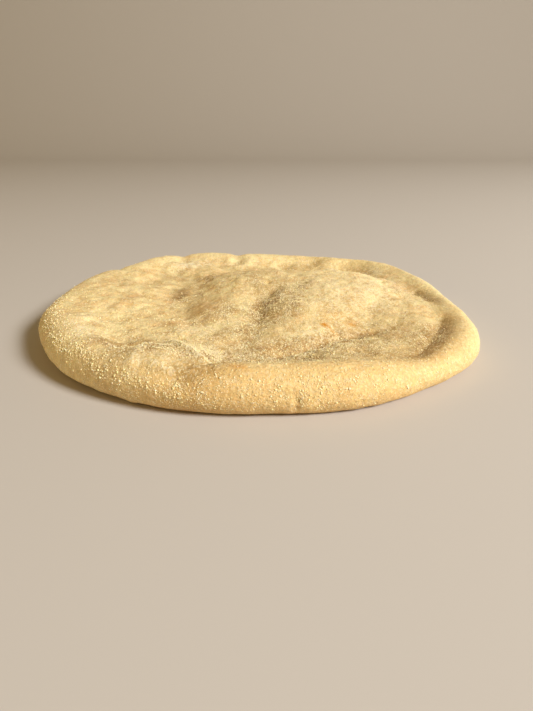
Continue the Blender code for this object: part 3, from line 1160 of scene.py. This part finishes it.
class Desk:
    """A new material and short ways to add nodes to it."""

    def __init__(self, name: str) -> None:
        """Starts a material that has a Principled shader.

        Args:
            name: The material's name.
        """
        self.material = bpy.data.materials.new(name)
        self.material.use_nodes = True
        self.tree = self.material.node_tree
        self.shader = self.tree.nodes["Principled BSDF"]
        self.place = self.node("ShaderNodeTexCoord").outputs["Object"]

    def feed(self, node: Node, feeds: Feeds) -> None:
        """Feeds the inputs of a node.

        Args:
            node: The node.
            feeds: For the name or number of an input, the socket that it reads or its value.
        """
        for name, value in feeds.items():
            if isinstance(value, NodeSocket):
                self.tree.links.new(value, node.inputs[name])
            else:
                node.inputs[name].default_value = value

    def node(self, kind: str, feeds: Feeds | None = None, **settings: object) -> Node:
        """Adds a node.

        Args:
            kind: The node's type.
            feeds: What feeds its inputs.
            **settings: Its other settings.

        Returns:
            The new node.
        """
        made = self.tree.nodes.new(kind)
        for name, value in settings.items():
            setattr(made, name, value)
        self.feed(made, feeds or {})
        return made

    def mark(self, name: str) -> NodeSocket:
        """Reads a number that the mesh stores for each vertex."""
        return self.node("ShaderNodeAttribute", attribute_name=name).outputs["Fac"]

    def noise(self, spacing: float, detail: float = 2.0, shift: float = 0.0) -> NodeSocket:
        """Makes noise around 0.5.

        Args:
            spacing: The size of its grain, in millimetres.
            detail: How many finer layers it has.
            shift: Moves it, so that two noises differ.

        Returns:
            The noise.
        """
        away = (shift, shift * 0.6, shift * 1.4)
        moved = self.node("ShaderNodeVectorMath", {0: self.place, 1: away}, operation="ADD")
        feeds = {"Scale": 1.0 / (spacing * MM), "Detail": detail, "Vector": moved.outputs[0]}
        return self.node("ShaderNodeTexNoise", feeds).outputs["Fac"]

    def ramp(self, value: object, low: float, high: float) -> NodeSocket:
        """Rises smoothly from 0 to 1 as the value goes from low to high."""
        feeds = {"Value": value, "From Min": low, "From Max": high}
        return self.node("ShaderNodeMapRange", feeds, interpolation_type="SMOOTHSTEP").outputs[0]

    def maths(self, operation: str, *values: object) -> NodeSocket:
        """Joins numbers by one operation, and keeps the result from 0 to 1."""
        feeds = dict(enumerate(values))
        return self.node("ShaderNodeMath", feeds, operation=operation, use_clamp=True).outputs[0]

    def between(self, value: object, low: float, high: float) -> NodeSocket:
        """Runs from low to high as the value goes from 0 to 1."""
        feeds = {"Value": value, "To Min": low, "To Max": high}
        return self.node("ShaderNodeMapRange", feeds).outputs["Result"]

    def vary(self, colour: object, value: object, low: float, high: float) -> NodeSocket:
        """Darkens and lightens a colour from low to high, by noise around 0.5."""
        tone = self.between(self.ramp(value, 0.3, 0.7), low, high)
        return self.node("ShaderNodeHueSaturation", {"Color": colour, "Value": tone}).outputs[0]

    def bump(self, height: object, reach: float, below: NodeSocket | None = None) -> NodeSocket:
        """Roughens the surface.

        Args:
            height: The height, from 0 to 1.
            reach: The full range of the height, in millimetres.
            below: A coarser roughness that this one lies on.

        Returns:
            The roughened normal.
        """
        feeds = {"Distance": reach * MM, "Height": height}
        if below is not None:
            feeds["Normal"] = below
        return self.node("ShaderNodeBump", feeds).outputs["Normal"]

    def blend(self, share: object, first: object, second: object) -> NodeSocket:
        """Blends from the first colour to the second."""
        feeds = {"Factor": share, "A": first, "B": second}
        return self.node("ShaderNodeMix", feeds, data_type="RGBA").outputs["Result"]


@dataclass(frozen=True)
class Cloud:
    """Soft clouds of a colour in the dough, from noise with a spacing in millimetres.

    The colour starts at the low value of the noise and is full at the high one. The rim value
    is how much of it shows on the rim, and the middle value how much more shows inside.
    """

    colour: Colour
    spacing: float
    detail: float
    shift: float
    low: float
    high: float
    rim: float
    middle: float


@dataclass(frozen=True)
class DoughFinish:
    """Dry baked dough: cream, tan where it took colour, dusted with flour; shade is painted
    darker into its hollows and shaded slopes, and light paler onto some lit places.
    """

    cream: Colour = screen_colour(252, 230, 168)
    warm: Colour = screen_colour(238, 192, 130)
    tan: Colour = screen_colour(220, 175, 102)
    # Dark tan for dust, and for painted shade in hollows and on shaded slopes.
    dust_and_shade_colour: Colour = screen_colour(160, 121, 63)
    flour: Colour = screen_colour(251, 234, 190)
    scorch: Colour = screen_colour(207, 137, 16)
    brown: Colour = screen_colour(196, 148, 88)
    clouds: tuple[Cloud, ...] = (
        Cloud(tan, 26.0, 3.0, 0.0, 0.42, 0.66, 0.2, 0.0),
        Cloud(tan, 6.0, 4.0, 0.3, 0.42, 0.68, 0.17, 0.42),
        Cloud(warm, 12.0, 3.0, 5.3, 0.46, 0.68, 0.3, 0.15),
        Cloud(dust_and_shade_colour, 9.0, 4.0, 6.1, 0.45, 0.7, 0.03, 0.27),
    )
    # Shares of the marks: the toasted, hollow and dusty ones are partly or wholly painted shade,
    # and the floury one is partly painted light.
    toast_and_shade_share: float = 0.7
    hollow_share: float = 0.5
    dust_and_shade_share: float = 0.9
    under_share: float = 0.8
    powder_share: float = 0.35
    flour_and_light_share: float = 0.6
    roughness: float = 0.72
    subsurface: float = 0.12
    subsurface_radius: tuple[float, float, float] = (1.0, 0.55, 0.25)
    subsurface_scale: float = 0.002
    specular: float = 0.35

    def material(self) -> Material:
        """Builds the material of the dough.

        Returns:
            The material.
        """
        desk = Desk("baked_dough")
        powder = self._powder(desk)
        # Flour over the dough, which also lays painted light where the floury places do.
        colour = desk.blend(powder, self._baked(desk), self.flour)

        baked = desk.ramp(desk.noise(17.0, 4.0, 1.9), 0.4, 0.6)
        below = desk.blend(baked, self.tan, self.brown)
        under = desk.maths("MULTIPLY", desk.mark("under"), self.under_share)
        colour = desk.blend(under, colour, below)
        spots = desk.maths("MULTIPLY", desk.mark("scorch"), desk.ramp(desk.noise(1.6), 0.0, 0.5))
        colour = desk.blend(spots, colour, self.scorch)
        colour = desk.vary(colour, desk.noise(3.4, 3.0, 7.9), 0.93, 1.06)

        coarse = desk.bump(desk.noise(1.8, 4.0, 3.1), 0.6)
        feeds = {
            "Base Color": desk.vary(colour, desk.noise(0.9, 3.0, 2.3), 0.87, 1.1),
            "Roughness": desk.between(powder, self.roughness - 0.1, self.roughness + 0.15),
            "Subsurface Weight": self.subsurface,
            "Subsurface Radius": self.subsurface_radius,
            "Subsurface Scale": self.subsurface_scale,
            "Specular IOR Level": self.specular,
            "Normal": desk.bump(desk.noise(0.7, 2.0, 4.7), 0.25, coarse),
        }
        desk.feed(desk.shader, feeds)
        return desk.material

    def _baked(self, desk: Desk) -> NodeSocket:
        """Colours the bare dough: cream with clouds, tan where toasted, and darker where dusty
        and in hollows; the tan and the darkening are partly painted shade, and in hollows wholly.

        Args:
            desk: The material that the nodes are added to.

        Returns:
            The colour.
        """
        inside = desk.mark("inside")
        colour = self.cream
        for cloud in self.clouds:
            share = desk.ramp(
                desk.noise(cloud.spacing, cloud.detail, cloud.shift), cloud.low, cloud.high
            )
            depth = desk.maths("MULTIPLY_ADD", inside, cloud.middle, cloud.rim)
            colour = desk.blend(desk.maths("MULTIPLY", share, depth), colour, cloud.colour)
        # Tan where toasted, which in places is painted shade.
        toast_and_shade = desk.maths("MULTIPLY", desk.mark("toast_and_shade"), self.toast_and_shade_share)
        colour = desk.blend(toast_and_shade, colour, self.tan)

        # Painted shade in hollows, together with dust that is also painted shade on shaded
        # slopes, darkens the colour.
        hollow, dust_and_shade = desk.mark("hollow"), desk.mark("dust_and_shade")
        sunk = desk.maths("MULTIPLY_ADD", hollow, self.hollow_share, dust_and_shade)
        uneven = desk.ramp(desk.noise(3.0, 4.0, 0.7), 0.3, 0.7)
        sunk = desk.maths("MULTIPLY", sunk, desk.maths("MULTIPLY_ADD", uneven, 0.25, 0.75))
        return desk.blend(desk.maths("MULTIPLY", sunk, self.dust_and_shade_share), colour, self.dust_and_shade_colour)

    def _powder(self, desk: Desk) -> NodeSocket:
        """Spreads the flour: thin all over, and more where the dough is floury, which in places
        is painted light.

        Args:
            desk: The material that the nodes are added to.

        Returns:
            How much flour, with some painted light, covers each place, from 0 to 1.
        """
        flour_and_light = desk.mark("flour_and_light")
        powder = desk.maths("MULTIPLY_ADD", flour_and_light, 0.16, desk.noise(1.5, 4.0, 1.1))
        cover = desk.maths("MULTIPLY_ADD", flour_and_light, self.flour_and_light_share, self.powder_share)
        return desk.maths("MULTIPLY", desk.ramp(powder, 0.5, 0.68), cover)


@dataclass(frozen=True)
class GrainFinish:
    """Hard, slightly glassy grains of durum wheat."""

    pale: Colour = screen_colour(254, 244, 202)
    deep: Colour = screen_colour(248, 222, 156)
    roughness: float = 0.38
    subsurface: float = 0.25
    subsurface_radius: tuple[float, float, float] = (1.0, 0.7, 0.3)
    subsurface_scale: float = 0.0006

    def material(self) -> Material:
        """Builds the material of the grains.

        Returns:
            The material.
        """
        desk = Desk("semolina")
        own = desk.maths("MULTIPLY", desk.mark("tone"), 0.7)
        tone = desk.maths("ADD", own, desk.maths("MULTIPLY", desk.noise(0.5), 0.3))
        feeds = {
            "Base Color": desk.blend(tone, self.pale, self.deep),
            "Roughness": self.roughness,
            "Subsurface Weight": self.subsurface,
            "Subsurface Radius": self.subsurface_radius,
            "Subsurface Scale": self.subsurface_scale,
        }
        desk.feed(desk.shader, feeds)
        return desk.material


# ---------------------------------------------------------------- studio


@dataclass(frozen=True)
class Lamp:
    """A soft square light that points at the base, with its angles in degrees.

    Its distance and size are in metres, and its power is in watts.
    """

    name: str
    azimuth: float
    elevation: float
    distance: float
    size: float
    power: float
    colour: tuple[float, float, float]


@dataclass
class Studio:
    """The floor, the lights and the camera.

    The camera's place is in millimetres, and the sizes of the floor are in metres.
    """

    camera_place: tuple[float, float, float] = (8.16, -302.14, 111.7)
    camera_pitch: float = 23.83
    focal_pixels: float = 534.0
    picture_height: float = 711.0
    sensor: float = 36.0
    floor_colour: Colour = screen_colour(200, 193, 183)
    floor_roughness: float = 0.9
    floor_half: float = 3.0
    floor_front: float = -1.6
    floor_back: float = 1.4
    sweep: float = 1.0
    wall: float = 1.5
    lamps: tuple[Lamp, ...] = (
        Lamp("key", -32.0, 33.0, 2.6, 0.7, 90.0, (0.985, 0.98, 0.99)),
        Lamp("fill", -172.0, 9.0, 2.6, 1.2, 12.0, (1.0, 0.8, 0.42)),
    )
    ambience: tuple[float, float, float] = (0.25, 0.178, 0.083)
    backdrop: Colour = screen_colour(204, 198, 188)

    def build(self) -> None:
        """Builds the floor, lights and camera."""
        self._floor()
        for lamp in self.lamps:
            self._lamp(lamp)
        self._world()
        self._camera()

    def _floor(self) -> Object:
        """Makes a floor that sweeps up behind the base.

        Returns:
            The floor's object.
        """
        mesh = bmesh.new()
        half, front = self.floor_half, self.floor_front
        ends = [mesh.verts.new((side * half, front, 0.0)) for side in (-1.0, 1.0)]
        level = (0.0, self.floor_back - front, 0.0)
        swept = bmesh.ops.spin(
            mesh,
            geom=self._extend(mesh, [mesh.edges.new(ends)], level),
            cent=(0.0, self.floor_back, self.sweep),
            axis=(1.0, 0.0, 0.0),
            angle=math.radians(90.0),
            steps=24,
            use_merge=False,
        )["geom_last"]
        edges = [item for item in swept if isinstance(item, bmesh.types.BMEdge)]
        self._extend(mesh, edges, (0.0, 0.0, self.wall))
        bmesh.ops.recalc_face_normals(mesh, faces=mesh.faces[:])
        data = bpy.data.meshes.new("floor")
        mesh.to_mesh(data)
        mesh.free()
        data.shade_smooth()
        desk = Desk("floor")
        feeds = {"Base Color": self.floor_colour, "Roughness": self.floor_roughness}
        desk.feed(desk.shader, feeds)
        data.materials.append(desk.material)
        return link("floor", data)

    @staticmethod
    def _extend(
        mesh: bmesh.types.BMesh,
        edges: list[bmesh.types.BMEdge],
        way: tuple[float, float, float],
    ) -> list[bmesh.types.BMEdge | bmesh.types.BMVert]:
        """Extrudes edges.

        Args:
            mesh: The mesh that the edges are in.
            edges: The edges.
            way: How far they go, in metres.

        Returns:
            The edges and vertices of the far side.
        """
        made = bmesh.ops.extrude_edge_only(mesh, edges=edges)["geom"]
        verts = [item for item in made if isinstance(item, bmesh.types.BMVert)]
        bmesh.ops.translate(mesh, vec=way, verts=verts)
        edges = [item for item in made if isinstance(item, bmesh.types.BMEdge)]
        return [edge for edge in edges if all(end in verts for end in edge.verts)] + verts

    def _lamp(self, lamp: Lamp) -> None:
        """Adds one soft light.

        Args:
            lamp: The light.
        """
        light = bpy.data.lights.new(lamp.name, "AREA")
        light.energy = lamp.power
        light.size = lamp.size
        light.color = lamp.colour
        azimuth, elevation = math.radians(lamp.azimuth), math.radians(lamp.elevation)
        flat = math.cos(elevation)
        away = Vector((math.cos(azimuth) * flat, math.sin(azimuth) * flat, math.sin(elevation)))
        thing = link(lamp.name, light)
        thing.location = away * lamp.distance
        thing.rotation_euler = away.to_track_quat("Z", "Y").to_euler()

    def _world(self) -> None:
        """Sets an even, warm surround, which shows as a pale backdrop past the floor."""
        world = bpy.data.worlds.new("surround")
        world.use_nodes = True
        nodes, links = world.node_tree.nodes, world.node_tree.links
        warm = nodes["Background"]
        warm.inputs["Color"].default_value = (*self.ambience, 1.0)
        pale = nodes.new("ShaderNodeBackground")
        pale.inputs["Color"].default_value = self.backdrop
        seen = nodes.new("ShaderNodeMixShader")
        links.new(nodes.new("ShaderNodeLightPath").outputs["Is Camera Ray"], seen.inputs[0])
        links.new(warm.outputs["Background"], seen.inputs[1])
        links.new(pale.outputs["Background"], seen.inputs[2])
        links.new(seen.outputs["Shader"], nodes["World Output"].inputs["Surface"])
        bpy.context.scene.world = world

    def _camera(self) -> None:
        """Adds the camera at the photograph's viewing angle."""
        camera = bpy.data.cameras.new("camera")
        camera.sensor_width = self.sensor
        camera.lens = self.focal_pixels / self.picture_height * self.sensor
        thing = link("camera", camera)
        thing.location = Vector(self.camera_place) * MM
        thing.rotation_euler = (math.radians(90.0 - self.camera_pitch), 0.0, 0.0)
        bpy.context.scene.camera = thing
        bpy.context.scene.view_settings.view_transform = "Standard"


def main() -> None:
    """Builds the dough, its semolina and the studio, and reports each piece."""
    logging.basicConfig(level=logging.INFO, format="%(name)s: %(message)s")
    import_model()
    Studio().build()

    dough = Dough().build()
    dough.data.materials.append(DoughFinish().material())
    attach(dough, BODY)
    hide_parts(NODE)
    LOG.info("%s: %d faces", dough.name, len(dough.data.polygons))

    finish = GrainFinish().material()
    for grains in Semolina().build(dough):
        grains.data.materials.append(finish)
        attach(grains, BODY)
        LOG.info("%s: %d faces", grains.name, len(grains.data.polygons))


if __name__ == "__main__":
    main()
